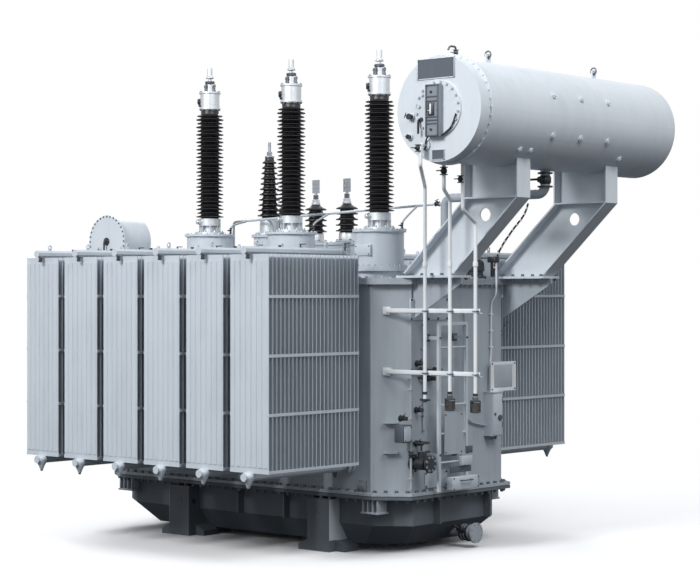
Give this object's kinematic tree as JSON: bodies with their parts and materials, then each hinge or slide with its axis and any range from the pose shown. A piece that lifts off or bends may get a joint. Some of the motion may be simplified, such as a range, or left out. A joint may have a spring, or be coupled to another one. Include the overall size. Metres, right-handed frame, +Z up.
{
  "type": "power transformer",
  "caption": "Oil-filled power transformer with a cut-corner tank, two rows of panel radiators, tall ribbed bushings on round turrets and a round conservator across one end.",
  "frame": {"origin": "middle of the machine's overall outline, on the ground under the cradle beams", "axes": "+X along the tank towards the conservator, +Y across the tank away from the high voltage bushings, +Z up"},
  "size_m": [6.524, 5.256, 5.3338],
  "materials": {
    "tank_paint": "satin grey paint",
    "base_paint": "dark grey paint",
    "radiator_paint": "light grey paint",
    "conservator_paint": "light grey paint",
    "pipe_paint": "off-white paint",
    "black_porcelain": "glazed, near black",
    "bare_metal": "plain cast aluminium",
    "galvanised": "zinc-coated steel",
    "dark_metal": "dark paint",
    "gasket_rubber": "matt black",
    "blank_plate": "white enamel, blank",
    "gauge_face": "grey",
    "desiccant": "brown grains behind a clear wall"
  },
  "bodies": {
    "root": {"tank": "tank_paint", "tank_cover": "tank_paint", "lower_tray": "base_paint", "tray_gasket": "gasket_rubber", "cradle_beams": "base_paint", "radiator_straps_front": "radiator_paint", "radiator_straps_back": "radiator_paint", "radiator_pipes_front": "tank_paint", "radiator_pipes_back": "tank_paint", "lv_turret_box": "tank_paint", "neutral_turret": "tank_paint", "neutral_bushing_foot": "bare_metal", "neutral_insulator": "black_porcelain", "neutral_terminal": "galvanised", "conservator": "conservator_paint", "conservator_end_cap": "conservator_paint", "conservator_manhole_cover": "conservator_paint", "oil_level_gauge": "gauge_face", "conservator_blank_plates": "dark_metal", "bracket_front": "conservator_paint", "bracket_back": "conservator_paint", "bracket_gussets": "tank_paint", "oil_riser": "tank_paint", "gas_relay": "dark_metal", "gas_pipe": "dark_metal", "service_pipes": "pipe_paint", "breathers": "desiccant", "service_rails": "pipe_paint", "ladder": "radiator_paint", "ladder_guard": "tank_paint", "terminal_box": "radiator_paint", "blank_board": "blank_plate", "drain_pipe": "tank_paint", "filter_valve": "dark_metal", "filter_handwheel": "dark_metal", "oil_vessel": "conservator_paint", "oil_vessel_cradle": "tank_paint", "oil_vessel_pipe": "tank_paint", "hv_turrets": "tank_paint", "hv_bushing_feet": "bare_metal", "hv_insulators": "black_porcelain", "hv_terminals": "bare_metal", "lv_insulators": "black_porcelain", "lv_terminals": "galvanised", "radiators_front": "radiator_paint", "radiators_back": "radiator_paint"}
  },
  "joints": []
}
